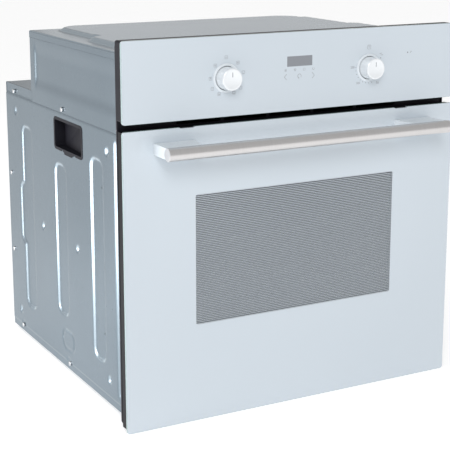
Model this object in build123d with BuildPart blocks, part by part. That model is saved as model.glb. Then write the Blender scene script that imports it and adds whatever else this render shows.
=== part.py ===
"""Built-in wall oven, 60 cm wide, made as separate pieces.

Frame: millimetres. X = 0 is the middle of the oven and +X its right side as seen from the front.
Y = 0 is the plane of the cabinet's front edges and +Y runs into the cabinet.
Z = 0 is the shelf that the oven stands on and +Z is up.
"""

from build123d import *
import math
import os

os.makedirs("parts", exist_ok=True)

# Front of the oven
FRONT_WIDTH = 595.0          # glass front, side to side
FRONT_HEIGHT = 595.0         # door glass plus gap plus control panel glass
FRONT_DROP = 7.0             # how far the door glass hangs below the shelf
FRONT_PROUD = 28.0           # glass face in front of the cabinet
GLASS = 4.0
ARRIS = 0.4                  # ground edge of the glass
CORNER = 4.5
DOOR_TOP = 457.0
PANEL_BOTTOM = 467.0
TRIM_INSET = 1.3             # black trim stands inside the glass edge
TRIM_BACK = -8.0             # rear of the door
FRAME_LIP = 3.5              # front frame's folded edge

# Casing
BODY_WIDTH = 558.0
BODY_DEPTH = 537.0
SHEET = 0.8
MAIN_TOP = 461.0             # top of the side panels
UPPER_DEPTH = 402.0          # control compartment
UPPER_TOP = 566.0
PLATEAU = 7.0                # pressed rise of the top cover
SKIRT = 12.0                 # turned-down edge of the top cover

# Cavity
CAVITY_HALF = 234.0
CAVITY_FLOOR = 70.0
CAVITY_ROOF = 410.0
CAVITY_DEPTH = 405.0
LINER = 1.0
INSULATION = 20.0

# Door hinge axis
HINGE_Y = -17.0
HINGE_Z = 6.0
HINGE_X = 268.0              # middle of each hinge arm

# Controls
KNOB_X = 128.0
KNOB_Z = 525.0
KNOB_REAR = -20.0
KNOB_FRONT = -48.5
KNOB_TRAVEL = 17.0

# Handle
HANDLE_Y = -78.0
HANDLE_Z = 428.5
HANDLE_R = 10.0
HANDLE_HALF = 250.5

# Fan and shelves
FAN_Z = 240.0
FAN_COVER_Y = 372.0
LAMP_X = 165.0
LAMP_Z = 358.0
PROBE_X = -150.0
PROBE_Z = 381.0
SHELF_PITCH = 55.0
SHELF_ROD_Z = 251.7          # support rod under the shelf in use
SHELF_LEVELS = range(-3, 3)

front_half = FRONT_WIDTH / 2
front_top = FRONT_HEIGHT - FRONT_DROP
glass_front = -FRONT_PROUD
glass_back = glass_front + GLASS
trim_half = front_half - TRIM_INSET
frame_half = trim_half - 1.0
body_half = BODY_WIDTH / 2
inner_half = body_half - SHEET
liner_half = CAVITY_HALF + LINER
liner_low = CAVITY_FLOOR - LINER
liner_high = CAVITY_ROOF + LINER
liner_back = CAVITY_DEPTH + LINER
wrap_low = 44.0
wrap_high = liner_high + INSULATION
wrap_back = liner_back + INSULATION
deck_z = wrap_high + 5.0


def block(x, y, z, mode=Mode.ADD):
    """Box given by its low and high limits on each axis, in the part being built."""
    with Locations(((x[0] + x[1]) / 2, (y[0] + y[1]) / 2, (z[0] + z[1]) / 2)):
        Box(x[1] - x[0], y[1] - y[0], z[1] - z[0], mode=mode)


def rod_x(radius, x, y, z, mode=Mode.ADD):
    with Locations(((x[0] + x[1]) / 2, y, z)):
        Cylinder(radius, x[1] - x[0], rotation=(0, 90, 0), mode=mode)


def rod_y(radius, x, y, z, mode=Mode.ADD):
    with Locations((x, (y[0] + y[1]) / 2, z)):
        Cylinder(radius, y[1] - y[0], rotation=(90, 0, 0), mode=mode)


def rod_z(radius, x, y, z, mode=Mode.ADD):
    with Locations((x, y, (z[0] + z[1]) / 2)):
        Cylinder(radius, z[1] - z[0], mode=mode)


def span(side, near, far):
    """Low and high X of a piece that lies between two distances from the middle, on one side."""
    return (near, far) if side > 0 else (-far, -near)


def write(builder, name):
    builder.part.label = name
    export_step(builder.part, f"parts/{name}.step")


def write_group(name, pieces):
    """Separate identical solids that share one node."""
    group = Compound(children=pieces)
    group.label = name
    export_step(group, f"parts/{name}.step")


SIDES = {"left": -1, "right": 1}

# ---------------------------------------------------------------- casing

frame_holes = [(x, z) for x in (-286.0, 286.0) for z in (120.0, 420.0)]
VENT_PITCH = 80.5
VENT_WIDTH = 75.0
vent_centres = [VENT_PITCH * i for i in range(-2, 3)]
vent_low = DOOR_TOP - 0.5
vent_high = vent_low + 9.0

with BuildPart() as front_frame:
    with BuildSketch(Plane.XZ) as plate:
        with Locations((0, (front_top - 5) / 2)):
            RectangleRounded(2 * frame_half, front_top - 5, 6)
        with Locations((0, (CAVITY_FLOOR + CAVITY_ROOF) / 2)):
            RectangleRounded(2 * CAVITY_HALF, CAVITY_ROOF - CAVITY_FLOOR, 12, mode=Mode.SUBTRACT)
        for x in vent_centres:
            with Locations((x, (vent_low + vent_high) / 2)):
                RectangleRounded(VENT_WIDTH, vent_high - vent_low, 3.5, mode=Mode.SUBTRACT)
        for x, z in frame_holes:
            with Locations((x, z)):
                Circle(2.3, mode=Mode.SUBTRACT)
        for side in SIDES.values():
            with Locations((side * HINGE_X, 28)):
                Rectangle(10, 40, mode=Mode.SUBTRACT)
            with Locations((side * KNOB_X, KNOB_Z)):
                Circle(5, mode=Mode.SUBTRACT)
    extrude(amount=1.2)
    with BuildSketch(Plane.XZ) as lip:
        with Locations((0, (front_top - 5) / 2)):
            RectangleRounded(2 * frame_half, front_top - 5, 6)
            RectangleRounded(2 * (frame_half - 1.8), front_top - 8.6, 4.2, mode=Mode.SUBTRACT)
    extrude(amount=FRAME_LIP)
write(front_frame, "front_frame")

with BuildPart() as cavity_liner:
    with BuildSketch(Plane.XZ.offset(-liner_back)) as outer:
        with Locations((0, (CAVITY_FLOOR + CAVITY_ROOF) / 2)):
            RectangleRounded(2 * liner_half, liner_high - liner_low, 13)
    extrude(amount=liner_back)
    with BuildSketch(Plane.XZ.offset(-1.0)) as flange:
        with Locations((0, (CAVITY_FLOOR + CAVITY_ROOF) / 2)):
            RectangleRounded(2 * 247, CAVITY_ROOF - CAVITY_FLOOR + 26, 20)
    extrude(amount=1.0)
    with BuildSketch(Plane.XZ.offset(-CAVITY_DEPTH)) as inner:
        with Locations((0, (CAVITY_FLOOR + CAVITY_ROOF) / 2)):
            RectangleRounded(2 * CAVITY_HALF, CAVITY_ROOF - CAVITY_FLOOR, 12)
    extrude(amount=CAVITY_DEPTH, mode=Mode.SUBTRACT)
    rod_y(7, 0, (CAVITY_DEPTH - 1, liner_back + 1), FAN_Z, mode=Mode.SUBTRACT)
    rod_y(20.2, LAMP_X, (CAVITY_DEPTH - 1, liner_back + 1), LAMP_Z, mode=Mode.SUBTRACT)
    for x in (-30, 30):
        rod_y(3.4, x, (CAVITY_DEPTH - 1, liner_back + 1), 392, mode=Mode.SUBTRACT)
        rod_y(3.4, x, (CAVITY_DEPTH - 1, liner_back + 1), 120, mode=Mode.SUBTRACT)
    rod_y(1.9, PROBE_X, (CAVITY_DEPTH - 1, liner_back + 1), PROBE_Z, mode=Mode.SUBTRACT)
write(cavity_liner, "cavity_liner")

with BuildPart() as insulation_wrap:
    block((-256, 256), (3, wrap_back), (wrap_low, wrap_high))
    block((-liner_half - 0.5, liner_half + 0.5), (2, liner_back + 0.5), (57, liner_high + 0.5),
          mode=Mode.SUBTRACT)
    block((-248, 248), (2, 6), (56, 424), mode=Mode.SUBTRACT)
    rod_y(34, 0, (liner_back - 1, wrap_back + 1), FAN_Z, mode=Mode.SUBTRACT)
    rod_y(24, LAMP_X, (liner_back - 1, wrap_back + 1), LAMP_Z, mode=Mode.SUBTRACT)
    for z in (392, 120):
        block((-45, 45), (liner_back - 1, wrap_back + 1), (z - 10, z + 10), mode=Mode.SUBTRACT)
    block((-35, 35), (liner_back - 1, wrap_back + 1), (50, 70), mode=Mode.SUBTRACT)
    rod_y(5, PROBE_X, (liner_back - 1, wrap_back + 1), PROBE_Z, mode=Mode.SUBTRACT)
    fillet(insulation_wrap.edges().filter_by(Axis.Y).group_by(Axis.Z)[-1], 12)
write(insulation_wrap, "insulation_wrap")

# Pressed shapes of a side panel: centre Y, centre Z, width, height, corner radius
RIB_DEPTH = 3.0
panel_ribs = [
    (118.0, 227.0, 54.0, 336.0, 17.0),
    (274.0, 224.0, 54.0, 268.0, 17.0),
    (432.0, 226.0, 52.0, 340.0, 17.0),
    (250.0, 54.5, 42.0, 27.0, 12.0),
]
POCKET_Y = (174.0, 293.0)
POCKET_Z = (381.0, 431.0)
side_screw_spots = [(30, 449), (257, 449), (492, 449), (250, 12), (482, 12), (519, 295), (519, 150)]
panel_holes = [(103, 348), (103, 110), (409, 110), (409, 352)]


def side_panel(side):
    """Steel side sheet with pressed-in ribs, a carry-handle cut-out and screw holes."""
    outward = Plane(origin=(side * body_half, 0, 0), x_dir=(0, side, 0), z_dir=(side, 0, 0))
    with BuildPart() as panel:
        with BuildSketch(outward):
            with Locations((side * BODY_DEPTH / 2, MAIN_TOP / 2)):
                Rectangle(BODY_DEPTH, MAIN_TOP)
        extrude(amount=-SHEET)
        with BuildSketch(outward):
            for y, z, width, height, radius in panel_ribs:
                with Locations((side * y, z)):
                    RectangleRounded(width + 2 * SHEET, height + 2 * SHEET, radius + SHEET)
        extrude(amount=-RIB_DEPTH - SHEET)
        with BuildSketch(outward):
            for y, z, width, height, radius in panel_ribs:
                with Locations((side * y, z)):
                    RectangleRounded(width, height, radius)
        extrude(amount=-RIB_DEPTH, mode=Mode.SUBTRACT)
        with BuildSketch(outward):
            with Locations((side * sum(POCKET_Y) / 2, sum(POCKET_Z) / 2)):
                RectangleRounded(POCKET_Y[1] - POCKET_Y[0], POCKET_Z[1] - POCKET_Z[0], 6)
            for y, z in side_screw_spots:
                with Locations((side * y, z)):
                    Circle(2.1)
            for y, z in panel_holes:
                with Locations((side * y, z)):
                    Circle(1.6)
        extrude(amount=-RIB_DEPTH - 2 * SHEET, mode=Mode.SUBTRACT)
        block(span(side, body_half - 10, body_half), (BODY_DEPTH - SHEET, BODY_DEPTH), (0, MAIN_TOP))
        block(span(side, body_half - 10, body_half), (0, SHEET), (62, 430))
    return panel


for name, side in SIDES.items():
    write(side_panel(side), f"{name}_side_panel")


GRIP_TONGUE = [(253, 379), (249, 375), (218, 375), (214, 379)]
GRIP_TEETH = (259.0, 205.0)          # where the steel edge bites over the rim
GRIP_DEPTH = 18.4
# Sloping face in the pocket: corner Y, corner Z and height above a level just under the floor
GRIP_SLOPE = [(291.4, 382.6, 0), (222, 429.4, 0), (175.6, 429.4, 0), (175.6, 382.6, 0), (175.6, 382.6, 9.4),
              (175.6, 429.4, 3.7)]
GRIP_SLOPE_FACES = [(0, 1, 2, 3), (0, 4, 5), (0, 5, 1), (3, 2, 5, 4), (0, 3, 4), (1, 5, 2)]


def grip_slope(side, floor_x):
    """Solid wedge whose face falls from the lower front corner to a slanting ridge."""
    corners = [(side * (floor_x + rise), y, z) for y, z, rise in GRIP_SLOPE]
    faces = [Face(Wire.make_polygon([corners[i] for i in face])) for face in GRIP_SLOPE_FACES]
    return Solid(Shell(faces))


def carry_handle(side):
    """Plastic grip pocket set into a side panel."""
    y_mid = sum(POCKET_Y) / 2
    z_mid = sum(POCKET_Z) / 2
    length = POCKET_Y[1] - POCKET_Y[0]
    height = POCKET_Z[1] - POCKET_Z[0]
    outward = Plane(origin=(side * (body_half + 0.6), 0, 0), x_dir=(0, side, 0), z_dir=(side, 0, 0))
    with BuildPart() as grip:
        with BuildSketch(outward):
            with Locations((side * y_mid, z_mid)):
                RectangleRounded(length + 5, height + 5, 8)
            Polygon(*[(side * y, z) for y, z in GRIP_TONGUE], align=None)
            for tip in GRIP_TEETH:
                tooth = [(tip - 4, POCKET_Z[0] - 3), (tip, POCKET_Z[0] + 2), (tip + 4, POCKET_Z[0] - 3)]
                Polygon(*[(side * y, z) for y, z in tooth], align=None, mode=Mode.SUBTRACT)
        extrude(amount=-0.6)
        with BuildSketch(outward):
            with Locations((side * y_mid, z_mid)):
                RectangleRounded(length - 0.4, height - 0.4, 5.8)
        extrude(amount=-20.0)
        with BuildSketch(outward):
            with Locations((side * y_mid, z_mid)):
                RectangleRounded(length - 4.4, height - 4.4, 4.0)
        extrude(amount=-GRIP_DEPTH, mode=Mode.SUBTRACT)
        add(grip_slope(side, body_half + 0.6 - GRIP_DEPTH - 0.4))
    return grip


write_group("carry_handles", [carry_handle(side).part for side in SIDES.values()])

with BuildPart() as base_panel:
    block((-inner_half + 0.1, inner_half - 0.1), (0, BODY_DEPTH - SHEET), (0, SHEET))
    for side in SIDES.values():
        block(span(side, inner_half - 1.0, inner_half - 0.1), (4, BODY_DEPTH - 2), (0, 25))
        for y in (250, 482):
            rod_x(2.1, span(side, inner_half - 2, inner_half + 1), y, 12, mode=Mode.SUBTRACT)
    block((-inner_half + 0.1, inner_half - 0.1), (0.1, 1.0), (0, 9))
    for y in (150, 270, 390):
        block((-120, 120), (y - 8, y + 8), (SHEET, SHEET + 2))
        block((-120 + SHEET, 120 - SHEET), (y - 8 + SHEET, y + 8 - SHEET), (-1, 2), mode=Mode.SUBTRACT)
write(base_panel, "base_panel")

with BuildPart() as rear_panel:
    block((-inner_half + 0.1, inner_half - 0.1), (BODY_DEPTH - 2 * SHEET - 0.05, BODY_DEPTH - SHEET - 0.05),
          (SHEET + 0.1, MAIN_TOP - SHEET))
    block((-inner_half + 0.1, inner_half - 0.1), (UPPER_DEPTH + 0.2, BODY_DEPTH - SHEET - 0.05),
          (MAIN_TOP - SHEET, MAIN_TOP))
    for z in [330 + 12 * i for i in range(8)]:
        with BuildSketch(Plane.XZ.offset(-BODY_DEPTH)):
            with Locations((-120, z), (120, z)):
                SlotOverall(120, 5)
        extrude(amount=4, mode=Mode.SUBTRACT)
write(rear_panel, "rear_panel")

with BuildPart() as upper_deck:
    block((-inner_half + 0.1, inner_half - 0.1), (2, UPPER_DEPTH - 2), (deck_z, deck_z + SHEET))
    for side in SIDES.values():
        block(span(side, inner_half - 1.0, inner_half - 0.1), (4, UPPER_DEPTH - 2), (deck_z, MAIN_TOP + 6))
        for y in (30, 257):
            rod_x(2.1, span(side, inner_half - 2, inner_half + 1), y, 449, mode=Mode.SUBTRACT)
write(upper_deck, "upper_deck")


def upper_side(side):
    """Side sheet of the control compartment, with a pressed field that ends in a vertical bead."""
    with BuildPart() as sheet:
        block(span(side, body_half - SHEET, body_half), (0, UPPER_DEPTH),
              (MAIN_TOP + 0.2, UPPER_TOP - SKIRT - 0.2))
        with BuildSketch(Plane.YZ.offset(side * body_half)):
            with Locations((378.0, 508.0)):
                RectangleRounded(10, 76, 4.9)
        extrude(amount=-side * 2.4)
        with BuildSketch(Plane.YZ.offset(side * body_half)):
            with Locations((378.0, 508.0)):
                RectangleRounded(8.4, 74.4, 4.1)
        extrude(amount=-side * 1.6, mode=Mode.SUBTRACT)
        block(span(side, body_half - 10, body_half), (UPPER_DEPTH - SHEET, UPPER_DEPTH),
              (MAIN_TOP + 0.2, 550))
    return sheet


for name, side in SIDES.items():
    write(upper_side(side), f"{name}_upper_side")

with BuildPart() as upper_rear_panel:
    block((-inner_half + 0.1, inner_half - 0.1), (UPPER_DEPTH - 2 * SHEET - 0.05, UPPER_DEPTH - SHEET - 0.05),
          (deck_z + 1.2, UPPER_TOP - SHEET - 0.2))
    with BuildSketch(Plane.XZ.offset(-UPPER_DEPTH)):
        for z in (490, 502, 514, 526):
            with Locations((-130, z)):
                SlotOverall(140, 5)
        with Locations((160, 508)):
            Circle(7)
    extrude(amount=5, mode=Mode.SUBTRACT)
write(upper_rear_panel, "upper_rear_panel")

COVER_FRONT_HALF = 262.0
COVER_REAR_HALF = 240.0


def plateau_outline(inset):
    """Half-widths and depths of the pressed rise, moved inwards by inset."""
    wide = COVER_FRONT_HALF - inset
    narrow = COVER_REAR_HALF - inset
    right = [(wide, 30 + inset), (wide, 194 - inset), (narrow, 226 - inset), (narrow, UPPER_DEPTH - 6)]
    return right + [(-x, y) for x, y in reversed(right)]


with BuildPart() as top_cover:
    block((-body_half, body_half), (0, UPPER_DEPTH), (UPPER_TOP - SKIRT, UPPER_TOP))
    block((-body_half + SHEET, body_half - SHEET), (-1, UPPER_DEPTH - SHEET),
          (UPPER_TOP - SKIRT - 1, UPPER_TOP - SHEET), mode=Mode.SUBTRACT)
    with BuildSketch(Plane.XY.offset(UPPER_TOP)):
        Polygon(*plateau_outline(0), align=None)
    extrude(amount=PLATEAU, taper=45)
    with BuildSketch(Plane.XY.offset(UPPER_TOP - SHEET)):
        Polygon(*plateau_outline(0.4), align=None)
    extrude(amount=PLATEAU, taper=45, mode=Mode.SUBTRACT)
write(top_cover, "top_cover")

# ---------------------------------------------------------------- control panel

with BuildPart() as control_panel_glass:
    with BuildSketch(Plane.XZ.offset(-glass_back)):
        with Locations((0, (PANEL_BOTTOM + front_top) / 2)):
            RectangleRounded(FRONT_WIDTH, front_top - PANEL_BOTTOM, CORNER)
        with Locations((-KNOB_X, KNOB_Z), (KNOB_X, KNOB_Z)):
            Circle(20.2, mode=Mode.SUBTRACT)
    extrude(amount=GLASS)
    chamfer(control_panel_glass.faces().sort_by(Axis.Y)[0].edges(), ARRIS)
write(control_panel_glass, "control_panel_glass")

carrier_low = PANEL_BOTTOM + 3
carrier_high = front_top - 0.5
carrier_mid = (carrier_low + carrier_high) / 2
with BuildPart() as control_panel_carrier:
    with BuildSketch(Plane.XZ.offset(FRAME_LIP)):
        with Locations((0, carrier_mid)):
            RectangleRounded(2 * trim_half, carrier_high - carrier_low, 3)
        with Locations((-KNOB_X, KNOB_Z), (KNOB_X, KNOB_Z)):
            Circle(20.2, mode=Mode.SUBTRACT)
    extrude(amount=-glass_back - FRAME_LIP)
    with BuildSketch(Plane.XZ.offset(6.5)):
        with Locations((0, carrier_mid)):
            RectangleRounded(2 * trim_half - 6, carrier_high - carrier_low - 6, 2)
        with Locations((-KNOB_X, KNOB_Z), (KNOB_X, KNOB_Z)):
            Circle(23, mode=Mode.SUBTRACT)
    extrude(amount=20, mode=Mode.SUBTRACT)
    block((-55, 55), (-8, -2), (498, 565), mode=Mode.SUBTRACT)
write(control_panel_carrier, "control_panel_carrier")

with BuildPart() as display_module:
    block((-30, 30), (glass_back + 0.1, -14), (530, 556))
    block((-22.5, 22.5), (glass_back, -23), (535.3, 551), mode=Mode.SUBTRACT)
write(display_module, "display_module")

with BuildPart() as timer_board:
    block((-52, 52), (-14, -12.4), (500, 562))
    for x in (-25, 0, 25):
        rod_y(5, x, (glass_back + 0.1, -14), 520)
    for x in (-25, -8.3, 8.3, 25):
        rod_y(1.5, x, (-20, -14), 526.5)
    block((-15, 15), (-12.4, -3), (540, 558))
    block((20, 44), (-12.4, -4), (507, 517))
write(timer_board, "timer_board")

with BuildPart() as indicator_lamp:
    rod_y(2.4, 203, (glass_back + 0.1, -10), 545)
    rod_y(4.0, 203, (-10, -6.6), 545)
write(indicator_lamp, "indicator_lamp")


def knob_collar(x):
    """Plastic ring that lines the glass hole round a knob."""
    with BuildPart() as collar:
        with BuildSketch(Plane.XZ.offset(-glass_front)):
            with Locations((x, KNOB_Z)):
                Circle(22.2)
        extrude(amount=1.1)
        fillet(collar.edges().filter_by(GeomType.CIRCLE).group_by(Axis.Y)[0], 0.7)
        rod_y(19.9, x, (glass_front, -9), KNOB_Z)
        rod_y(18.3, x, (glass_front - 3, -8), KNOB_Z, mode=Mode.SUBTRACT)
    return collar


def knob(x):
    """Push-in knob: a hollow cap with a boss that slides on the spindle."""
    with BuildPart() as cap:
        with BuildSketch(Plane.XY):
            with BuildLine():
                Polyline((0, KNOB_FRONT), (16.6, KNOB_FRONT), (17.5, glass_front - 1), (17.5, KNOB_REAR),
                         (0, KNOB_REAR), close=True)
            make_face()
        revolve(axis=Axis.Y)
        fillet(cap.edges().filter_by(GeomType.CIRCLE).group_by(Axis.Y)[0], 1.3)
        with BuildSketch(Plane.XZ.offset(-KNOB_REAR)):
            Circle(15.0)
            Circle(6.0, mode=Mode.SUBTRACT)
        extrude(amount=KNOB_REAR - KNOB_FRONT - 2.0, mode=Mode.SUBTRACT)
        with BuildSketch(Plane.XZ.offset(-KNOB_REAR)):
            Circle(3.05)
        extrude(amount=KNOB_REAR - KNOB_FRONT - 2.0, mode=Mode.SUBTRACT)
    cap.part = cap.part.moved(Location((x, 0, KNOB_Z)))
    return cap


def spindle(x):
    """Shaft of a rotary switch, short enough for the knob to slide over it."""
    with BuildPart() as shaft:
        rod_y(3.0, x, (KNOB_FRONT + 2.0 + KNOB_TRAVEL + 0.7, 12), KNOB_Z)
        block((x + 2.4, x + 4), (-30, -2), (KNOB_Z - 4, KNOB_Z + 4), mode=Mode.SUBTRACT)
    return shaft


write_group("knob_collars", [knob_collar(x).part for x in (-KNOB_X, KNOB_X)])
for name, x in {"function": -KNOB_X, "temperature": KNOB_X}.items():
    write(knob(x), f"{name}_knob")
    write(spindle(x), f"{name}_spindle")

with BuildPart() as function_switch:
    block((-KNOB_X - 22, -KNOB_X + 22), (0.1, 26), (KNOB_Z - 22, KNOB_Z + 22))
    chamfer(function_switch.edges().filter_by(Axis.Y), 4)
    rod_y(17, -KNOB_X, (26, 40), KNOB_Z)
    for z in (-14, 0, 14):
        block((-KNOB_X - 28, -KNOB_X + 28), (14, 15), (KNOB_Z + z - 3, KNOB_Z + z + 3))
    rod_y(3.05, -KNOB_X, (-1, 13), KNOB_Z, mode=Mode.SUBTRACT)
write(function_switch, "function_switch")

with BuildPart() as thermostat:
    block((KNOB_X - 18, KNOB_X + 18), (0.1, 22), (KNOB_Z - 18, KNOB_Z + 18))
    chamfer(thermostat.edges().filter_by(Axis.Y), 3)
    rod_y(15, KNOB_X, (22, 34), KNOB_Z)
    for z in (-8, 8):
        block((KNOB_X - 24, KNOB_X + 24), (12, 13), (KNOB_Z + z - 3, KNOB_Z + z + 3))
    rod_y(3.05, KNOB_X, (-1, 13), KNOB_Z, mode=Mode.SUBTRACT)
write(thermostat, "thermostat")

# ---------------------------------------------------------------- cooling blower

BLOWER_Y = 290.0
BLOWER_Z = 482.0
BLOWER_HALF = 95.0
ROTOR_R = 28.0

with BuildPart() as blower_housing:
    with BuildSketch(Plane.YZ.offset(-BLOWER_HALF)):
        with Locations((BLOWER_Y, BLOWER_Z)):
            Circle(36)
        with Locations((BLOWER_Y - 35, deck_z + SHEET + 14)):
            Rectangle(70, 26)
    extrude(amount=2 * BLOWER_HALF)
    with BuildSketch(Plane.YZ.offset(-BLOWER_HALF + 1)):
        with Locations((BLOWER_Y, BLOWER_Z)):
            Circle(35)
        with Locations((BLOWER_Y - 36, deck_z + SHEET + 14)):
            Rectangle(72, 24)
    extrude(amount=2 * BLOWER_HALF - 2, mode=Mode.SUBTRACT)
    block((-BLOWER_HALF + 8, BLOWER_HALF - 8), (BLOWER_Y - 40, BLOWER_Y + 10), (BLOWER_Z + 14, BLOWER_Z + 50),
          mode=Mode.SUBTRACT)
    rod_x(4.05, (-BLOWER_HALF - 1, -BLOWER_HALF + 2), BLOWER_Y, BLOWER_Z, mode=Mode.SUBTRACT)
    rod_x(8, (BLOWER_HALF - 2, BLOWER_HALF + 1), BLOWER_Y, BLOWER_Z, mode=Mode.SUBTRACT)
write(blower_housing, "blower_housing")

with BuildPart() as blower_rotor:
    rod_x(4.0, (-BLOWER_HALF - 3, BLOWER_HALF + 14), BLOWER_Y, BLOWER_Z)
    for x in (-BLOWER_HALF + 5, 0, BLOWER_HALF - 6):
        rod_x(ROTOR_R, (x, x + 1), BLOWER_Y, BLOWER_Z)
    with BuildSketch(Plane.YZ.offset(-BLOWER_HALF + 5)):
        with Locations((BLOWER_Y, BLOWER_Z)):
            with PolarLocations(ROTOR_R - 4.5, 24):
                Rectangle(8, 1.0, rotation=35)
    extrude(amount=2 * BLOWER_HALF - 10)
write(blower_rotor, "blower_rotor")

with BuildPart() as blower_motor:
    block((BLOWER_HALF + 6, BLOWER_HALF + 24), (BLOWER_Y - 30, BLOWER_Y + 30), (BLOWER_Z - 30, BLOWER_Z + 34))
    rod_x(16, (BLOWER_HALF + 1, BLOWER_HALF + 28), BLOWER_Y, BLOWER_Z)
    block((BLOWER_HALF, BLOWER_HALF + 34), (BLOWER_Y - 18, BLOWER_Y + 18), (BLOWER_Z + 18, BLOWER_Z + 44))
    rod_x(4.05, (BLOWER_HALF - 1, BLOWER_HALF + 16), BLOWER_Y, BLOWER_Z, mode=Mode.SUBTRACT)
write(blower_motor, "blower_motor")

DUCT_HALF = 204.0
with BuildPart() as air_duct:
    block((-DUCT_HALF, DUCT_HALF), (0.2, 218), (deck_z + SHEET + 0.1, 470))
    block((-DUCT_HALF + SHEET, DUCT_HALF - SHEET), (0, 219), (deck_z, 470 - SHEET), mode=Mode.SUBTRACT)
write(air_duct, "air_duct")

# ---------------------------------------------------------------- cavity fittings

with BuildPart() as door_gasket:
    with BuildSketch(Plane.XZ.offset(1.2)):
        with Locations((0, (CAVITY_FLOOR + CAVITY_ROOF) / 2)):
            RectangleRounded(2 * 246, CAVITY_ROOF - CAVITY_FLOOR + 24, 20)
            RectangleRounded(2 * 238, CAVITY_ROOF - CAVITY_FLOOR + 8, 14, mode=Mode.SUBTRACT)
    extrude(amount=6.4)
    fillet(door_gasket.faces().sort_by(Axis.Y)[0].edges(), 2.5)
write(door_gasket, "door_gasket")


def heater(points, radii, radius, plane_z):
    """Tube heater bent along straight runs and arcs in a level plane."""
    with BuildPart() as tube:
        with BuildLine(Plane.XY.offset(plane_z)) as route:
            FilletPolyline(*points, radius=radii)
        with BuildSketch(Plane(origin=route.line @ 0, z_dir=route.line % 0)):
            Circle(radius)
        sweep()
    return tube


grill_half = [(30, 440), (30, 352), (190, 352), (190, 60), (110, 60), (110, 290), (40, 290), (40, 60)]
grill_points = [(-x, y) for x, y in grill_half] + grill_half[::-1]
write(heater(grill_points, 18, 3.2, 392), "grill_element")

floor_half = [(20, 440), (20, 380), (180, 380), (180, 70), (90, 70), (90, 320)]
floor_points = [(-x, y) for x, y in floor_half] + floor_half[::-1]
write(heater(floor_points, 18, 3.2, 62.5), "bottom_element")

RING_R = 95.0
ring_gap = math.asin(30 / RING_R)
with BuildPart() as ring_element:
    ring_plane = Plane(origin=(0, 390, FAN_Z), x_dir=(1, 0, 0), z_dir=(0, -1, 0))
    with BuildLine(ring_plane) as ring_route:
        CenterArc((0, 0), RING_R, -90 + math.degrees(ring_gap), 360 - 2 * math.degrees(ring_gap))
    with BuildSketch(Plane(origin=ring_route.line @ 0, z_dir=ring_route.line % 0)):
        Circle(3.2)
    sweep()
    leg_z = FAN_Z - RING_R * math.cos(ring_gap)
    for x in (-30, 30):
        with Locations((x, 390, leg_z)):
            Sphere(3.2)
        rod_z(3.2, x, 390, (120, leg_z))
        with Locations((x, 390, 120)):
            Sphere(3.2)
        rod_y(3.2, x, (390, 440), 120)
write(ring_element, "ring_element")

with BuildPart() as convection_fan:
    rod_y(4.0, 0, (382, 452), FAN_Z)
    rod_y(12, 0, (382, 396), FAN_Z)
    rod_y(74, 0, (396, 397.2), FAN_Z)
    with BuildSketch(Plane.XZ.offset(-396.5)):
        with Locations((0, FAN_Z)):
            with PolarLocations(50, 10):
                Rectangle(46, 1.4, rotation=20)
    extrude(amount=13)
write(convection_fan, "convection_fan")

with BuildPart() as convection_motor:
    rod_y(31, 0, (liner_back + 2, liner_back + 22), FAN_Z)
    block((-38, 38), (liner_back + 22, liner_back + 52), (FAN_Z - 32, FAN_Z + 32))
    rod_y(20, 0, (liner_back + 52, liner_back + 64), FAN_Z)
    rod_y(4.05, 0, (liner_back, 454), FAN_Z, mode=Mode.SUBTRACT)
write(convection_motor, "convection_motor")

with BuildPart() as fan_cover:
    block((-200, 200), (FAN_COVER_Y, FAN_COVER_Y + 1.2), (105, 375))
    for side in SIDES.values():
        block(span(side, 198.8, 200), (FAN_COVER_Y, CAVITY_DEPTH - 0.1), (105, 375))
    with BuildSketch(Plane.XZ.offset(-FAN_COVER_Y - 2)):
        with Locations((0, FAN_Z)):
            with PolarLocations(46, 12):
                SlotOverall(34, 8)
            Circle(14)
        for x in (-165, 165):
            for z in [150 + 20 * i for i in range(7)]:
                with Locations((x, z)):
                    SlotOverall(44, 7)
    extrude(amount=4, mode=Mode.SUBTRACT)
    block((127, 201), (FAN_COVER_Y - 1, CAVITY_DEPTH), (320, 376), mode=Mode.SUBTRACT)
write(fan_cover, "fan_cover")

with BuildPart() as lamp_socket:
    rod_y(20, LAMP_X, (CAVITY_DEPTH - 3, CAVITY_DEPTH + 40), LAMP_Z)
    rod_y(18, LAMP_X, (CAVITY_DEPTH - 4, CAVITY_DEPTH + 38), LAMP_Z, mode=Mode.SUBTRACT)
    rod_y(8, LAMP_X, (CAVITY_DEPTH + 22, CAVITY_DEPTH + 38), LAMP_Z)
write(lamp_socket, "lamp_socket")

with BuildPart() as lamp_bulb:
    rod_y(6, LAMP_X, (CAVITY_DEPTH + 6, CAVITY_DEPTH + 22), LAMP_Z)
    with Locations((LAMP_X, CAVITY_DEPTH - 4, LAMP_Z)):
        Sphere(11.5)
write(lamp_bulb, "lamp_bulb")

with BuildPart() as lamp_cover:
    with BuildSketch(Plane.XY):
        with BuildLine():
            Polyline((0, CAVITY_DEPTH - 24), (18, CAVITY_DEPTH - 20), (24, CAVITY_DEPTH - 6),
                     (24, CAVITY_DEPTH - 0.2), (20.5, CAVITY_DEPTH - 0.2), (20.5, CAVITY_DEPTH - 6),
                     (16, CAVITY_DEPTH - 17.5), (0, CAVITY_DEPTH - 21), close=True)
        make_face()
    revolve(axis=Axis.Y)
lamp_cover.part = lamp_cover.part.moved(Location((LAMP_X, 0, LAMP_Z)))
write(lamp_cover, "lamp_cover")

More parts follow.
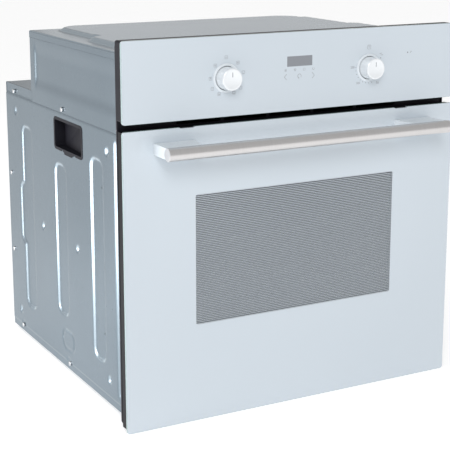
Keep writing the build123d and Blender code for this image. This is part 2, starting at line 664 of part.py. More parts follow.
with BuildPart() as thermostat_probe:
    rod_y(1.8, PROBE_X, (270, CAVITY_DEPTH + 18), PROBE_Z)
    rod_y(4.0, PROBE_X, (CAVITY_DEPTH - 3, CAVITY_DEPTH - 0.1), PROBE_Z)
write(thermostat_probe, "thermostat_probe")

RAIL_Y = (30.0, 362.0)


def shelf_rail(side):
    """Wire ladder that carries the shelf at any of its levels."""
    post_x = side * 230.2
    rod_at = side * 223.5
    with BuildPart() as rail:
        for y in (RAIL_Y[0] + 12, RAIL_Y[1] - 12):
            rod_z(2.6, post_x, y, (82, 398))
        for level in SHELF_LEVELS:
            z = SHELF_ROD_Z + SHELF_PITCH * level
            for height in (z, z + 15):
                rod_y(2.0, rod_at, (RAIL_Y[0], RAIL_Y[1]), height)
                for y in (RAIL_Y[0] + 12, RAIL_Y[1] - 12):
                    rod_x(1.9, span(side, 223.0, 231.0), y, height)
        for y in (RAIL_Y[0] + 12, RAIL_Y[1] - 12):
            rod_x(3.0, span(side, 229.4, CAVITY_HALF - 0.05), y, 386)
            rod_x(3.0, span(side, 229.4, CAVITY_HALF - 0.05), y, 94)
    return rail


for name, side in SIDES.items():
    write(shelf_rail(side), f"{name}_shelf_rail")

SHELF_Z = SHELF_ROD_Z + 2.0 + 0.35 + 3.0
SHELF_HALF = 222.0
SHELF_Y = (50.0, 364.0)
with BuildPart() as wire_shelf:
    with BuildLine(Plane.XY.offset(SHELF_Z)) as hoop:
        FilletPolyline((-SHELF_HALF, SHELF_Y[0]), (SHELF_HALF, SHELF_Y[0]), (SHELF_HALF, SHELF_Y[1]),
                       (-SHELF_HALF, SHELF_Y[1]), close=True, radius=14)
    with BuildSketch(Plane(origin=hoop.line @ 0, z_dir=hoop.line % 0)):
        Circle(3.0)
    sweep()
    for x in [24.0 * i for i in range(-8, 9)]:
        rod_y(1.4, x, SHELF_Y, SHELF_Z)
    for y in (150, 264):
        rod_x(2.2, (-SHELF_HALF, SHELF_HALF), y, SHELF_Z)
write(wire_shelf, "wire_shelf")

# ---------------------------------------------------------------- hinges


def hinge_receiver(side):
    """Steel pocket behind the front frame that holds the hinge arm."""
    with BuildPart() as pocket:
        block(span(side, HINGE_X - 6, HINGE_X + 6), (0.1, 62), (9.2, 48))
        block(span(side, HINGE_X - 4.6, HINGE_X + 4.6), (-1, 60.6), (10.6, 46.6), mode=Mode.SUBTRACT)
    return pocket


def hinge_arm(side):
    """Flat arm fixed in the receiver, with the pivot pin at its front end."""
    with BuildPart() as arm:
        with BuildSketch(Plane.YZ.offset(side * HINGE_X - 2)):
            with BuildLine():
                Polyline((HINGE_Y, HINGE_Z - 5), (HINGE_Y + 9, HINGE_Z), (4, 16), (50, 16), (50, 40), (4, 40),
                         (-4, 30), (HINGE_Y, HINGE_Z + 5), close=True)
            make_face()
            with Locations((HINGE_Y, HINGE_Z)):
                Circle(5)
        extrude(amount=4)
        rod_x(3.0, span(side, HINGE_X - 7, HINGE_X + 7), HINGE_Y, HINGE_Z)
    return arm


def door_hinge(side):
    """Sheet channel inside the door that turns on the arm's pin."""
    with BuildPart() as channel:
        block(span(side, HINGE_X - 5.5, HINGE_X + 5.5), (-22.5, -9.2), (-0.5, 150))
        block(span(side, HINGE_X - 4.0, HINGE_X + 4.0), (-21.2, -8), (-2, 151), mode=Mode.SUBTRACT)
        block(span(side, HINGE_X - 6, HINGE_X + 6), (-25, -21.1), (-2, 16), mode=Mode.SUBTRACT)
        rod_x(3.05, span(side, HINGE_X - 8, HINGE_X + 8), HINGE_Y, HINGE_Z, mode=Mode.SUBTRACT)
    return channel


def hinge_spring(side):
    """Closing spring of the hinge, drawn as a sleeve of its outer size."""
    with BuildPart() as spring:
        with BuildSketch(Plane.XY.offset(30)):
            with Locations((side * HINGE_X, -15.2)):
                Circle(3.6)
                Circle(2.2, mode=Mode.SUBTRACT)
        extrude(amount=100)
        block(span(side, HINGE_X - 4.0, HINGE_X + 4.0), (-21.2, -10), (130, 132))
    return spring


write_group("hinge_receivers", [hinge_receiver(side).part for side in SIDES.values()])
write_group("hinge_arms", [hinge_arm(side).part for side in SIDES.values()])
write_group("hinge_springs", [hinge_spring(side).part for side in SIDES.values()])
for name, side in SIDES.items():
    write(door_hinge(side), f"{name}_door_hinge")

# ---------------------------------------------------------------- door

NOTCH_X = 193.0
bracket_screw_spots = [(side * x, HANDLE_Z - 0.5) for side in SIDES.values() for x in (200.0, 235.0)]
with BuildPart() as door_outer_glass:
    with BuildSketch(Plane.XZ.offset(-glass_back)):
        with Locations((0, (DOOR_TOP - FRONT_DROP) / 2)):
            RectangleRounded(FRONT_WIDTH, DOOR_TOP + FRONT_DROP, CORNER)
    extrude(amount=GLASS)
    chamfer(door_outer_glass.faces().sort_by(Axis.Y)[0].edges(), ARRIS)
    with BuildSketch(Plane.XZ.offset(-glass_back)):
        with Locations((-NOTCH_X, DOOR_TOP), (NOTCH_X, DOOR_TOP)):
            RectangleRounded(25, 3.2, 1.5)
        for x, z in bracket_screw_spots:
            with Locations((x, z)):
                Circle(3.0)
    extrude(amount=GLASS, mode=Mode.SUBTRACT)
write(door_outer_glass, "door_outer_glass")

INNER_HALF = 256.0
INNER_Z = (34.0, 443.0)
with BuildPart() as door_inner_glass:
    block((-INNER_HALF, INNER_HALF), (TRIM_BACK - GLASS, TRIM_BACK), INNER_Z)
write(door_inner_glass, "door_inner_glass")


def door_channel(side):
    """Black side channel of the door, open towards the middle."""
    with BuildPart() as channel:
        block(span(side, 257, trim_half), (glass_back, TRIM_BACK), (-1, 443.5))
        block(span(side, 250, trim_half - 1.2), (glass_back + 1.2, TRIM_BACK - 1.0), (-5, 450),
              mode=Mode.SUBTRACT)
        block(span(side, HINGE_X - 7, HINGE_X + 7), (TRIM_BACK - 2, TRIM_BACK + 1), (-5, 60),
              mode=Mode.SUBTRACT)
        fillet(channel.edges().filter_by(Axis.X).group_by(Axis.Z)[0].sort_by(Axis.Y)[-1:], 0.4)
    return channel


for name, side in SIDES.items():
    write(door_channel(side), f"{name}_door_channel")

with BuildPart() as door_top_trim:
    block((-trim_half, trim_half), (glass_back, TRIM_BACK), (443.6, DOOR_TOP - 1.5))
    block((-trim_half + 2, trim_half - 2), (glass_back + 2, TRIM_BACK - 2), (440, DOOR_TOP - 3.5),
          mode=Mode.SUBTRACT)
    for side in SIDES.values():
        block((side * NOTCH_X - 12, side * NOTCH_X + 12), (glass_back, glass_back + 4),
              (DOOR_TOP - 1.5, DOOR_TOP - 0.2))
write(door_top_trim, "door_top_trim")

with BuildPart() as door_bottom_trim:
    block((-255, 255), (glass_back, TRIM_BACK), (-1, 33.5))
    block((-256, 256), (glass_back + 1.5, TRIM_BACK - 1.5), (0.5, 34), mode=Mode.SUBTRACT)
write(door_bottom_trim, "door_bottom_trim")

with BuildPart() as handle_bar:
    rod_x(HANDLE_R, (-HANDLE_HALF, HANDLE_HALF), HANDLE_Y, HANDLE_Z)
    chamfer(handle_bar.edges().filter_by(GeomType.CIRCLE), 0.4)
    rod_x(HANDLE_R - 1.5, (-HANDLE_HALF + 2, HANDLE_HALF - 2), HANDLE_Y, HANDLE_Z, mode=Mode.SUBTRACT)
write(handle_bar, "handle_bar")


def handle_bracket(side):
    """White block that carries one end of the bar, sloping in towards it on the inner end."""
    with BuildPart() as bracket:
        with BuildSketch(Plane.XY.offset(HANDLE_Z - 8.75)):
            with BuildLine():
                Polyline((side * 181, glass_front), (side * 248.5, glass_front), (side * 248.5, HANDLE_Y),
                         (side * 189.5, HANDLE_Y), (side * 189.5, HANDLE_Y + 6), close=True)
            make_face()
        extrude(amount=17.5)
        fillet(bracket.edges().group_by(Axis.Z)[0] + bracket.edges().group_by(Axis.Z)[-1], 0.9)
        rod_x(HANDLE_R, (-HANDLE_HALF, HANDLE_HALF), HANDLE_Y, HANDLE_Z, mode=Mode.SUBTRACT)
        for x, z in bracket_screw_spots:
            rod_y(1.8, x, (glass_front - 22, glass_front + 1), z, mode=Mode.SUBTRACT)
    return bracket


write_group("handle_brackets", [handle_bracket(side).part for side in SIDES.values()])


def pan_screw(head, shank, direction, at, head_r, shank_r):
    """Domed screw with a cross recess; at is the surface under the head, direction points out of it."""
    plane = Plane(origin=at, z_dir=direction)
    with BuildPart(mode=Mode.PRIVATE) as screw:
        with BuildSketch(plane):
            Circle(head_r)
        extrude(amount=head)
        fillet(screw.edges().filter_by(GeomType.CIRCLE).sort_by(Axis(at, direction))[-1:], head * 0.6)
        with BuildSketch(plane):
            Circle(shank_r)
        extrude(amount=-shank)
        with BuildSketch(plane.offset(head - 0.7)):
            Rectangle(head_r * 1.1, 0.8)
            Rectangle(0.8, head_r * 1.1)
        extrude(amount=1.5, mode=Mode.SUBTRACT)
    return screw.part


side_screws = []
for side in SIDES.values():
    for y, z in side_screw_spots:
        side_screws.append(pan_screw(2.2, 6.0, (side, 0, 0), (side * body_half, y, z), 4.0, 1.9))
write_group("side_screws", side_screws)

handle_screws = []
for x, z in bracket_screw_spots:
    handle_screws.append(pan_screw(2.5, 21.0, (0, 1, 0), (x, glass_back, z), 4.5, 1.75))
write_group("handle_screws", handle_screws)

# ---------------------------------------------------------------- mains terminals

with BuildPart() as terminal_block:
    block((135, 185), (UPPER_DEPTH + 0.1, UPPER_DEPTH + 18), (490, 512))
    for x in (145, 160, 175):
        rod_y(3.5, x, (UPPER_DEPTH + 10, UPPER_DEPTH + 19), 501, mode=Mode.SUBTRACT)
write(terminal_block, "terminal_block")

with BuildPart() as terminal_cover:
    block((125, 195), (UPPER_DEPTH + 0.1, UPPER_DEPTH + 30), (472, 524))
    block((127, 193), (UPPER_DEPTH - 1, UPPER_DEPTH + 28), (474, 522), mode=Mode.SUBTRACT)
    fillet(terminal_cover.edges().filter_by(Axis.Z).group_by(Axis.Y)[-1], 3)
    rod_z(5.2, 160, UPPER_DEPTH + 15, (470, 476), mode=Mode.SUBTRACT)
write(terminal_cover, "terminal_cover")
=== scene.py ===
import bmesh
import bpy
import math
import numpy as np
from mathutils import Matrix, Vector


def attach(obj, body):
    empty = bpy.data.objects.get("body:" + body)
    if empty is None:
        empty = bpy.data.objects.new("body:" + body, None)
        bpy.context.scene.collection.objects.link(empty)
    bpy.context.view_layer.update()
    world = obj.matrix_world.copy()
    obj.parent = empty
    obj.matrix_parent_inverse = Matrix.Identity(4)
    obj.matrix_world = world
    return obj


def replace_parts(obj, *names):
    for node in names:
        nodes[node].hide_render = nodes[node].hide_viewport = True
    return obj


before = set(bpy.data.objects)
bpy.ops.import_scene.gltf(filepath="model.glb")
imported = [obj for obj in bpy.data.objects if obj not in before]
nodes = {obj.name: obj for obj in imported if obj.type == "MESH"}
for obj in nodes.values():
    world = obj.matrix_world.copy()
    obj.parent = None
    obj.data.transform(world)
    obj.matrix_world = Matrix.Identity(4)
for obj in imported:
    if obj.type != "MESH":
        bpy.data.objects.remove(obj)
scene = bpy.context.scene
mm = 0.001


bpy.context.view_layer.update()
print("frame loaded with", len(nodes), "nodes")


# ---- shader graphs

class Value:
    # one socket of a shader graph; a sum on it adds a Math node
    def __init__(self, finish, made, output=0):
        self.finish = finish
        self.made = made
        self.socket = made.outputs[output]

    def output(self, name):
        return Value(self.finish, self.made, name)

    def math(self, operation, *terms):
        return self.finish.node("Math", {"operation": operation}, dict(enumerate(terms)))

    def most(self, other):
        return self.math("MAXIMUM", self, other)

    def part(self):
        return self.math("FRACT", self)

    def wave(self):
        return self.math("SINE", self)

    def __add__(self, other):
        return self.math("ADD", self, other)

    def __radd__(self, other):
        return self.math("ADD", other, self)

    def __sub__(self, other):
        return self.math("SUBTRACT", self, other)

    def __rsub__(self, other):
        return self.math("SUBTRACT", other, self)

    def __mul__(self, other):
        return self.math("MULTIPLY", self, other)

    def __rmul__(self, other):
        return self.math("MULTIPLY", other, self)

    def __truediv__(self, other):
        return self.math("DIVIDE", self, other)

    def __pow__(self, other):
        return self.math("POWER", self, other)

    def __lt__(self, other):
        return self.math("LESS_THAN", self, other)

    def __gt__(self, other):
        return self.math("GREATER_THAN", self, other)

    def __abs__(self):
        return self.math("ABSOLUTE", self)


class Finish:
    # a material in the making: node() adds any node, surface() closes it
    def __init__(self, name):
        self.material = bpy.data.materials.new(name)
        self.material.use_nodes = True
        self.tree = self.material.node_tree
        self.tree.nodes.clear()

    def node(self, kind, settings=None, sockets=None):
        made = self.tree.nodes.new("ShaderNode" + kind)
        for key, setting in (settings or {}).items():
            setattr(made, key, setting)
        for key, value in (sockets or {}).items():
            if isinstance(value, Value):
                self.tree.links.new(value.socket, made.inputs[key])
            else:
                made.inputs[key].default_value = value
        return Value(self, made)

    def place(self):
        # object coordinates, which are the frame's own X, Y and Z in metres
        spot = self.node("SeparateXYZ", {}, {0: self.node("TexCoord").output("Object")})
        return spot.output("X"), spot.output("Y"), spot.output("Z")

    def noise(self, scale, detail=3.0, stretch=(1, 1, 1)):
        # cloud value from 0 to 1; stretch multiplies the coordinates on each axis
        at = self.node("TexCoord").output("Object")
        at = self.node("Mapping", {}, {"Vector": at, "Scale": stretch})
        return self.node("TexNoise", {}, {"Vector": at, "Scale": scale, "Detail": detail})

    def rise(self, value, low, high):
        # 0 below low, 1 above high, and a smooth S between them
        settings = {"interpolation_type": "SMOOTHSTEP", "clamp": True}
        return self.node("MapRange", settings, {"Value": value, "From Min": low, "From Max": high})

    def blend(self, share, first, second):
        # colour that goes from first at share 0 to second at share 1
        mix = self.node("Mix", {"data_type": "RGBA"}, {0: share, 6: first, 7: second})
        return Value(self, mix.made, 2)

    def relief(self, height, depth):
        # bump of that depth in metres where height goes from 0 to 1
        return self.node("Bump", {}, {"Height": height, "Distance": depth, "Strength": 1.0})

    def surface(self, looks):
        shader = self.node("BsdfPrincipled", {}, looks)
        closing = self.tree.nodes.new("ShaderNodeOutputMaterial")
        self.tree.links.new(shader.socket, closing.inputs["Surface"])
        return self.material


def tone(red, green, blue):
    return (red, green, blue, 1.0)


def plainFinish(name, look):
    # a broad noise drifts the colour between two tones, a fine noise moves roughness and relief
    finish = Finish(name)
    stretch = look.get("stretch", (1, 1, 1))
    broad = finish.noise(look["broad"], 2.0)
    fine = finish.noise(look["fine"], 4.0, stretch)
    colour = finish.blend(finish.rise(broad, 0.3, 0.7), *look["tones"])
    if "specks" in look:
        cells = finish.node("TexVoronoi", {}, {"Scale": look["specks"]["scale"],
                                               "Vector": finish.node("TexCoord").output("Object")})
        colour = finish.blend(cells < look["specks"]["size"], colour, look["specks"]["colour"])
    if "drawn" in look:
        # painted highlight: where the surface's own normal lies along no axis, on slopes and bends, the
        # colour is made brighter
        normal = finish.node("SeparateXYZ", {}, {0: finish.node("TexCoord").output("Normal")})
        square = abs(normal.output("X")).most(abs(normal.output("Y"))).most(abs(normal.output("Z")))
        colour = finish.blend(finish.rise(1.0 - square, 0.01, 0.09), colour, look["drawn"])
    smooth, dull = look["roughness"]
    looks = {"Base Color": colour, "Roughness": fine * (dull - smooth) + smooth,
             "Normal": finish.relief(fine, look["relief"]), "Metallic": look.get("metallic", 0.0)}
    if "specular" in look:
        looks["Specular IOR Level"] = look["specular"]
    return finish.surface(looks)


plainLooks = {
    "galvanised": {"tones": (tone(0.170, 0.217, 0.256), tone(0.192, 0.240, 0.280)), "metallic": 0.92,
                   # a brighter tone painted on sloped and bent faces as a highlight
                   "drawn": tone(0.40, 0.48, 0.54), "roughness": (0.22, 0.30), "broad": 3.5, "fine": 320,
                   "relief": 0.000012},
    "frame_black": {"tones": (tone(0.013, 0.012, 0.018), tone(0.020, 0.018, 0.026)), "specular": 0.16,
                    "roughness": (0.30, 0.42), "broad": 9, "fine": 500, "relief": 0.00001},
    "trim_black": {"tones": (tone(0.004, 0.004, 0.006), tone(0.007, 0.007, 0.010)), "specular": 0.08,
                   "roughness": (0.25, 0.36), "broad": 9, "fine": 600, "relief": 0.00001},
    "glass_wool": {"tones": (tone(0.62, 0.55, 0.33), tone(0.78, 0.72, 0.50)), "stretch": (1, 6, 1),
                   "roughness": (0.85, 1.0), "broad": 25, "fine": 240, "relief": 0.0008},
    "moulded_black": {"tones": (tone(0.009, 0.009, 0.013), tone(0.014, 0.014, 0.019)), "specular": 0.12,
                      "roughness": (0.38, 0.55), "broad": 14, "fine": 1400, "relief": 0.00003},
    "indicator_red": {"tones": (tone(0.16, 0.10, 0.10), tone(0.22, 0.14, 0.14)),
                      "roughness": (0.12, 0.2), "broad": 60, "fine": 900, "relief": 0.00001},
    "bracket_white": {"tones": (tone(0.70, 0.75, 0.79), tone(0.73, 0.78, 0.82)),
                      "roughness": (0.24, 0.34), "broad": 12, "fine": 700, "relief": 0.00001},
    "plated": {"tones": (tone(0.62, 0.63, 0.64), tone(0.72, 0.73, 0.75)), "metallic": 1.0,
               "roughness": (0.16, 0.32), "broad": 60, "fine": 900, "relief": 0.00001},
    "chromed": {"tones": (tone(0.66, 0.67, 0.68), tone(0.74, 0.75, 0.76)), "metallic": 1.0,
                "roughness": (0.10, 0.22), "broad": 18, "fine": 500, "relief": 0.00001},
    "heater_sheath": {"tones": (tone(0.055, 0.055, 0.048), tone(0.11, 0.10, 0.085)), "metallic": 0.6,
                      "roughness": (0.45, 0.7), "broad": 30, "fine": 700, "relief": 0.00004},
    "rolled_steel": {"tones": (tone(0.34, 0.35, 0.36), tone(0.44, 0.45, 0.46)), "metallic": 0.9,
                     "roughness": (0.28, 0.45), "broad": 14, "fine": 420, "relief": 0.00002,
                     "stretch": (1, 1, 8)},
    "laminations": {"tones": (tone(0.13, 0.13, 0.14), tone(0.20, 0.20, 0.21)), "metallic": 0.7,
                    "roughness": (0.4, 0.6), "broad": 40, "fine": 500, "relief": 0.0001,
                    "stretch": (12, 1, 1)},
    "gasket_braid": {"tones": (tone(0.014, 0.014, 0.015), tone(0.03, 0.03, 0.032)),
                     "roughness": (0.7, 0.95), "broad": 30, "fine": 1100, "relief": 0.0003},
    "steatite": {"tones": (tone(0.72, 0.68, 0.58), tone(0.82, 0.79, 0.70)),
                 "roughness": (0.3, 0.5), "broad": 50, "fine": 600, "relief": 0.00003},
    "oven_enamel": {"tones": (tone(0.020, 0.022, 0.027), tone(0.034, 0.037, 0.044)),
                    "roughness": (0.16, 0.28), "broad": 8, "fine": 400, "relief": 0.00003,
                    "specks": {"scale": 420, "size": 0.16, "colour": tone(0.22, 0.24, 0.27)}},
    "mark_grey": {"tones": (tone(0.22, 0.23, 0.25), tone(0.26, 0.27, 0.29)),
                  "roughness": (0.4, 0.5), "broad": 60, "fine": 900, "relief": 0.000005},
}
finishes = {name: plainFinish(name, look) for name, look in plainLooks.items()}

# the glass front: enamel behind clear glass, a striped see-through window and a smoked display
glassFront = {
    "enamel": (tone(0.56, 0.62, 0.675), tone(0.58, 0.64, 0.695)), "roughness": 0.09, "cloud scale": 2.2,
    "edge": tone(0.33, 0.42, 0.43), "edge from": 0.2971, "edge width": 0.0004,
    "door": (-0.007, 0.457), "panel": (0.467, 0.588),
    "window half": 0.180, "window low": 0.149, "window high": 0.353, "corner": 0.0035,
    "line pitch": 0.00277, "line share": 0.32, "clear": tone(0.012, 0.015, 0.017), "clear alpha": 0.40,
    "display half": 0.0225, "display low": 0.5353, "display high": 0.551, "display": tone(0.235, 0.25, 0.275),
}


def enamelled(name, low, high):
    # enamel with slow clouds, and green-grey where |x| or z reaches the cut edge; low and high are z's ends
    g = glassFront
    finish = Finish(name)
    x, y, z = finish.place()
    cloud = finish.rise(finish.noise(g["cloud scale"], 1.0), 0.35, 0.65)
    colour = finish.blend(cloud, *g["enamel"])
    ends = (z < low + g["edge width"]) + (z > high - g["edge width"])
    edge = ((abs(x) > g["edge from"]) + ends) > 0.5
    return finish, x, z, finish.blend(edge, colour, g["edge"])


def doorGlass():
    # stripes inside a rounded rectangle: the distance past the straight part of its outline is held against
    # the corner radius, and the part of z / pitch above the line's share is see-through
    g = glassFront
    finish, x, z, colour = enamelled("door_glass", *g["door"])
    middle = (g["window low"] + g["window high"]) / 2
    tall = (g["window high"] - g["window low"]) / 2
    past = (abs(x) - (g["window half"] - g["corner"])).most(0.0)
    above = (abs(z - middle) - (tall - g["corner"])).most(0.0)
    inside = (past * past + above * above) ** 0.5 < g["corner"]
    clear = inside * ((z / g["line pitch"]).part() > g["line share"])
    return finish.surface({"Base Color": finish.blend(clear, colour, g["clear"]), "Roughness": g["roughness"],
                           "Alpha": 1.0 - clear * (1.0 - g["clear alpha"]), "IOR": 1.5})


def panelGlass():
    # the same enamel, with a smoked rectangle in front of the clock
    g = glassFront
    finish, x, z, colour = enamelled("panel_glass", *g["panel"])
    shown = (abs(x) < g["display half"]) * (z > g["display low"]) * (z < g["display high"])
    return finish.surface({"Base Color": finish.blend(shown, colour, g["display"]),
                           "Roughness": g["roughness"], "IOR": 1.5})


finishes["door_glass"] = doorGlass()
finishes["panel_glass"] = panelGlass()


def clearGlass(name, look):
    # clear glass as a thin film: alpha lets most of the light through
    finish = Finish(name)
    rough = finish.rise(finish.noise(look["haze"], 2.0), 0.2, 0.8) * 0.05 + 0.03
    return finish.surface({"Base Color": look["colour"], "Alpha": look["alpha"], "Roughness": rough,
                           "IOR": 1.5})


clearLooks = {"inner_glass": {"colour": tone(0.10, 0.115, 0.12), "alpha": 0.16, "haze": 12},
              "lamp_glass": {"colour": tone(0.75, 0.77, 0.78), "alpha": 0.30, "haze": 60}}
for glassName, glassLook in clearLooks.items():
    finishes[glassName] = clearGlass(glassName, glassLook)

barLook = {"tones": (tone(0.60, 0.585, 0.58), tone(0.74, 0.725, 0.72)), "stretch": (1440.0, 18, 18),
           "roughness": (0.24, 0.40), "relief": 0.00003}


def brushedBar():
    # scratches run round the bar, because the noise is stretched thin along X and long in Y and Z
    finish = Finish("brushed_bar")
    smooth, dull = barLook["roughness"]
    scratch = finish.noise(1.0, 5.0, barLook["stretch"])
    patch = finish.noise(14, 2.0)
    colour = finish.blend(scratch * 0.7 + patch * 0.3, *barLook["tones"])
    return finish.surface({"Base Color": colour, "Metallic": 1.0,
                           "Roughness": scratch * (dull - smooth) + smooth,
                           "Normal": finish.relief(scratch, barLook["relief"])})


finishes["brushed_bar"] = brushedBar()

knobPlace = {"function": -128.0, "temperature": 128.0, "height": 525.0}
knobLook = {"tones": (tone(0.80, 0.83, 0.86), tone(0.86, 0.89, 0.91)), "line": tone(0.20, 0.22, 0.25),
            "line half": 0.00055, "line from": 0.0035, "line to": 0.0106, "rings": 1500.0, "face": -0.0478,
            "ring relief": 0.000004}


def knobFinish(name, across):
    # satin white with turned rings round the axis and one printed line from near the middle upwards
    finish = Finish(name)
    x, y, z = finish.place()
    right = x - across * mm
    up = z - knobPlace["height"] * mm
    away = (right * right + up * up) ** 0.5
    rings = (away * (knobLook["rings"] * 2 * math.pi)).wave() * 0.5 + 0.5
    front = y < knobLook["face"]
    grain = finish.noise(400, 3.0)
    colour = finish.blend(grain, *knobLook["tones"])
    length = (up > knobLook["line from"]) * (up < knobLook["line to"])
    line = (abs(right) < knobLook["line half"]) * length * front
    colour = finish.blend(line, colour, knobLook["line"])
    return finish.surface({"Base Color": colour, "Roughness": grain * 0.08 + 0.20, "Metallic": 0.25,
                           "Normal": finish.relief(rings * front, knobLook["ring relief"])})


for knobName in ("function", "temperature"):
    finishes[knobName + "_cap"] = knobFinish(knobName + "_cap", knobPlace[knobName])


clockLook = {"housing": tone(0.03, 0.03, 0.034), "bars": tone(0.07, 0.072, 0.078), "left": -0.022,
             "cell": 0.009, "bar from": 0.28, "middle": 0.5432, "half": 0.005}


def clockFace():
    # dark housing, and an unlit bar at both sides of each figure's cell in the window
    finish = Finish("clock_face")
    x, y, z = finish.place()
    cell = ((x - clockLook["left"]) / clockLook["cell"]).part()
    bars = (abs(cell - 0.5) > clockLook["bar from"]) * (abs(z - clockLook["middle"]) < clockLook["half"])
    colour = finish.blend(bars, clockLook["housing"], clockLook["bars"])
    return finish.surface({"Base Color": colour, "Roughness": finish.noise(900, 2.0) * 0.1 + 0.2})


boardLook = {"lacquer": tone(0.02, 0.12, 0.05), "tracks": tone(0.05, 0.24, 0.10), "pitch": (0.0031, 0.0043),
             "share": (0.12, 0.10), "patches": 120}


def circuitBoard():
    # green lacquer over copper tracks: upright bands in some patches and level ones in the others
    finish = Finish("circuit_board")
    x, y, z = finish.place()
    across = abs((x / boardLook["pitch"][0]).part() - 0.5) < boardLook["share"][0]
    upward = abs((z / boardLook["pitch"][1]).part() - 0.5) < boardLook["share"][1]
    pick = finish.noise(boardLook["patches"], 1.0)
    tracks = across * (pick > 0.5) + upward * (pick < 0.5)
    colour = finish.blend(tracks > 0.5, boardLook["lacquer"], boardLook["tracks"])
    return finish.surface({"Base Color": colour, "Roughness": pick * 0.2 + 0.3})


finishes["clock_face"] = clockFace()
finishes["circuit_board"] = circuitBoard()

nodeFinishes = {
    "galvanised": ["left_side_panel", "right_side_panel", "base_panel", "rear_panel", "upper_deck",
                   "left_upper_side", "right_upper_side", "upper_rear_panel", "top_cover", "air_duct",
                   "blower_housing", "hinge_receivers"],
    "frame_black": ["front_frame"],
    "trim_black": ["left_door_channel", "right_door_channel", "door_top_trim", "door_bottom_trim"],
    "moulded_black": ["control_panel_carrier", "carry_handles", "function_switch", "terminal_cover"],
    "oven_enamel": ["cavity_liner", "fan_cover"],
    "glass_wool": ["insulation_wrap"],
    "door_glass": ["door_outer_glass"],
    "panel_glass": ["control_panel_glass"],
    "inner_glass": ["door_inner_glass"],
    "lamp_glass": ["lamp_cover", "lamp_bulb"],
    "clock_face": ["display_module"],
    "circuit_board": ["timer_board"],
    "indicator_red": ["indicator_lamp"],
    "function_cap": ["function_knob"],
    "temperature_cap": ["temperature_knob"],
    "bracket_white": ["handle_brackets", "knob_collars"],
    "brushed_bar": ["handle_bar"],
    "plated": ["function_spindle", "temperature_spindle", "side_screws", "handle_screws", "thermostat",
               "thermostat_probe", "hinge_springs"],
    "rolled_steel": ["convection_fan", "blower_rotor", "hinge_arms", "left_door_hinge", "right_door_hinge"],
    "chromed": ["wire_shelf", "left_shelf_rail", "right_shelf_rail"],
    "heater_sheath": ["grill_element", "bottom_element", "ring_element"],
    "laminations": ["convection_motor", "blower_motor"],
    "gasket_braid": ["door_gasket"],
    "steatite": ["lamp_socket", "terminal_block"],
}
for finishName, finishedNodes in nodeFinishes.items():
    for nodeName in finishedNodes:
        for place in nodes[nodeName].material_slots:
            place.material = finishes[finishName]
print("finishes made:", len(finishes))


# ---- pieces worked out on grids

def gridFaces(countU, countV, closedU=False, closedV=False):
    # face (u, v) joins the points (u, v), (u+1, v), (u+1, v+1) and (u, v+1)
    index = np.arange(countU * countV).reshape(countU, countV)
    if closedU:
        index = np.vstack([index, index[:1]])
    if closedV:
        index = np.hstack([index, index[:, :1]])
    return np.stack([index[:-1, :-1], index[1:, :-1], index[1:, 1:], index[:-1, 1:]], axis=-1)


def newPiece(name, points, faces, look, body, wall=0.0, sharp=35.0, solid=True):
    # unused points are dropped, doubles merged, and a wall is added inwards before sharp edges are marked
    used, faces = np.unique(faces.reshape(-1, 4), return_inverse=True)
    mesh = bpy.data.meshes.new(name)
    mesh.from_pydata(points.reshape(-1, 3)[used] * mm, [], faces.reshape(-1, 4))
    built = bmesh.new()
    built.from_mesh(mesh)
    bmesh.ops.remove_doubles(built, verts=built.verts, dist=1e-6)
    if solid:
        bmesh.ops.recalc_face_normals(built, faces=built.faces)
    built.to_mesh(mesh)
    built.free()
    piece = bpy.data.objects.new(name, mesh)
    scene.collection.objects.link(piece)
    if wall:
        thick = piece.modifiers.new("wall", "SOLIDIFY")
        thick.thickness = wall * mm
        thick.offset = -1.0
        graph = bpy.context.evaluated_depsgraph_get()
        piece.data = bpy.data.meshes.new_from_object(piece.evaluated_get(graph))
        piece.modifiers.clear()
    piece.data.shade_smooth()
    piece.data.set_sharp_from_angle(angle=math.radians(sharp))
    piece.data.materials.clear()
    piece.data.materials.append(look)
    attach(piece, body)
    return piece


def stations(low, high, pitch, fixed):
    # even stations from low to high, with the fixed ones put in place of their near neighbours
    even = np.linspace(low, high, int(round((high - low) / pitch)) + 1)
    fixed = np.array(sorted({low, high, *fixed}))
    far = np.abs(even[:, None] - fixed[None, :]).min(axis=1) > 0.3 * pitch
    return np.sort(np.concatenate([even[far], fixed]))


def outlineDistance(across, up, box, radius):
    # distance to a rounded rectangle, negative inside: |max(q, 0)| + min(max(q), 0) - radius
    left, right, low, high = box
    a = np.abs(across - (left + right) / 2) - (right - left) / 2 + radius
    b = np.abs(up - (low + high) / 2) - (high - low) / 2 + radius
    return np.hypot(np.maximum(a, 0), np.maximum(b, 0)) + np.minimum(np.maximum(a, b), 0) - radius


def pressed(distance, slope, depth):
    # depth x (3t^2 - 2t^3), where t grows from 0 at the outline to 1 one slope inside it
    t = np.clip(-distance / slope, 0, 1)
    return depth * t * t * (3 - 2 * t)


def cornerBend(radius, steps):
    # quarter circle: inset = radius x (1 - sin a), run = radius x (1 - cos a)
    a = np.linspace(0, math.pi / 2, steps)
    return radius * (1 - np.sin(a)), radius * (1 - np.cos(a))


